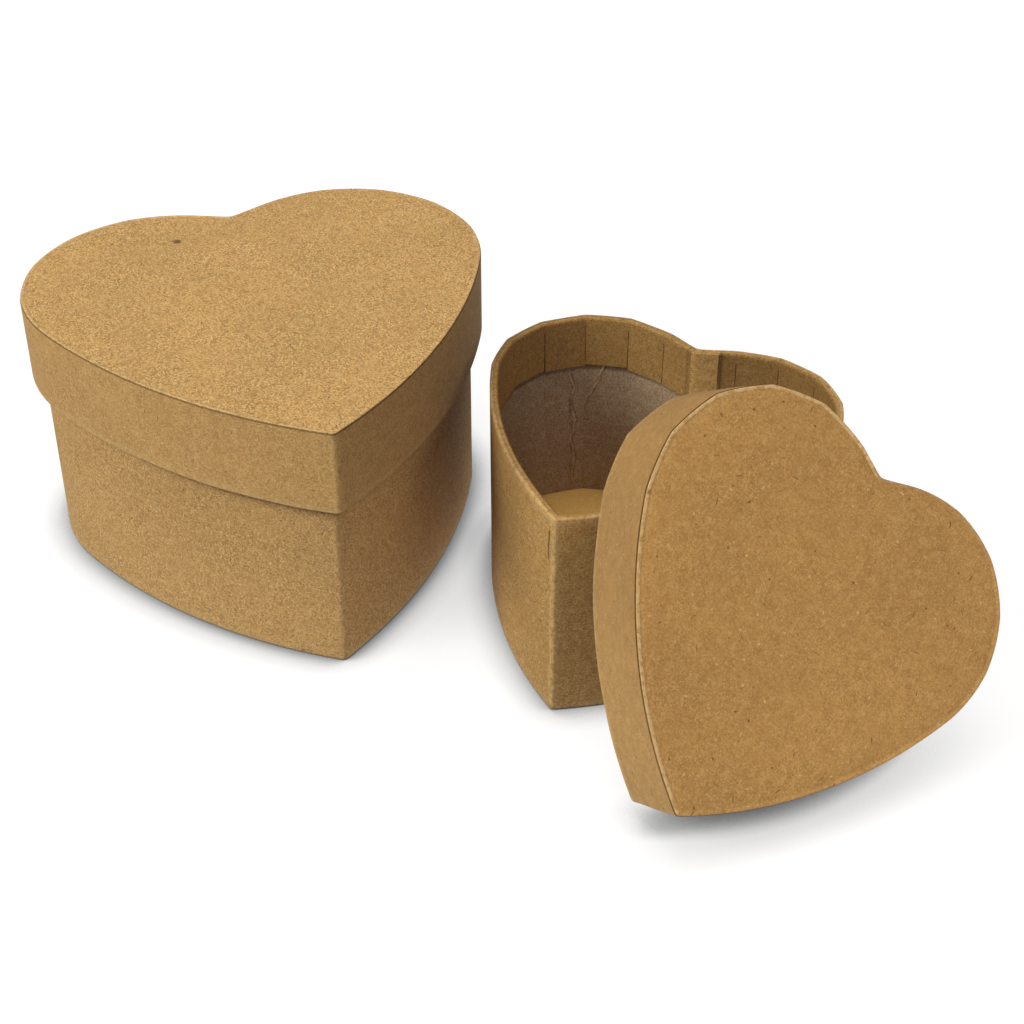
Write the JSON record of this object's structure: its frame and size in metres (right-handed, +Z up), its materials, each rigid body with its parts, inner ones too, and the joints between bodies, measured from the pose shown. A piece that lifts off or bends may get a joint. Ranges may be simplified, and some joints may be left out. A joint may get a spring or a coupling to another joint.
{
  "type": "heart-shaped gift box set",
  "caption": "Set of heart-shaped kraft paper boxes with lift-off lids: the large box is closed, the small box is open with its lid leaning on its side.",
  "frame": {"origin": "on the surface that the boxes stand on, midway between the centres of the large box's lobes", "axes": "+Z up, -Y towards the point of the large box, +X towards the small box"},
  "size_m": [0.1755, 0.1814, 0.0791],
  "materials": {
    "greyboard": "bare grey board",
    "kraft_wrap": "matte kraft paper",
    "kraft_sheet": "matte kraft paper with short fibres",
    "kraft_lining": "matte creased kraft paper",
    "kraft_floor": "smooth matte kraft paper"
  },
  "bodies": {
    "large_box": {"large_body_wall": "greyboard", "large_base_board": "greyboard", "large_body_wrap": "kraft_wrap", "large_body_lining": "kraft_lining", "large_floor_liner": "kraft_floor", "large_base_paper": "kraft_sheet", "large_cleft_tape": "kraft_wrap"},
    "large_lid": {"large_lid_rim_board": "greyboard", "large_lid_top_board": "greyboard", "large_lid_rim_wrap": "kraft_wrap", "large_lid_top_sheet": "kraft_sheet", "large_lid_liner": "kraft_floor"},
    "small_box": {"small_body_wall": "greyboard", "small_base_board": "greyboard", "small_body_wrap": "kraft_wrap", "small_body_lining": "kraft_lining", "small_floor_liner": "kraft_floor", "small_base_paper": "kraft_sheet", "small_cleft_tape": "kraft_wrap"},
    "small_lid": {"small_lid_rim_board": "greyboard", "small_lid_top_board": "greyboard", "small_lid_rim_wrap": "kraft_wrap", "small_lid_top_sheet": "kraft_sheet", "small_lid_liner": "kraft_floor"}
  },
  "joints": [
    {"name": "large_lid_lift", "type": "slide", "parent": "large_box", "child": "large_lid", "axis": [0, 0, 1], "range_m": [0, 0.06]},
    {"name": "small_box_lift", "type": "slide", "parent": "large_box", "child": "small_box", "axis": [0, 0, 1], "range_m": [0, 0.08]},
    {"name": "small_lid_off", "type": "slide", "parent": "small_box", "child": "small_lid", "axis": [0.0899, -0.8271, 0.5548], "range_m": [0, 0.08]}
  ]
}
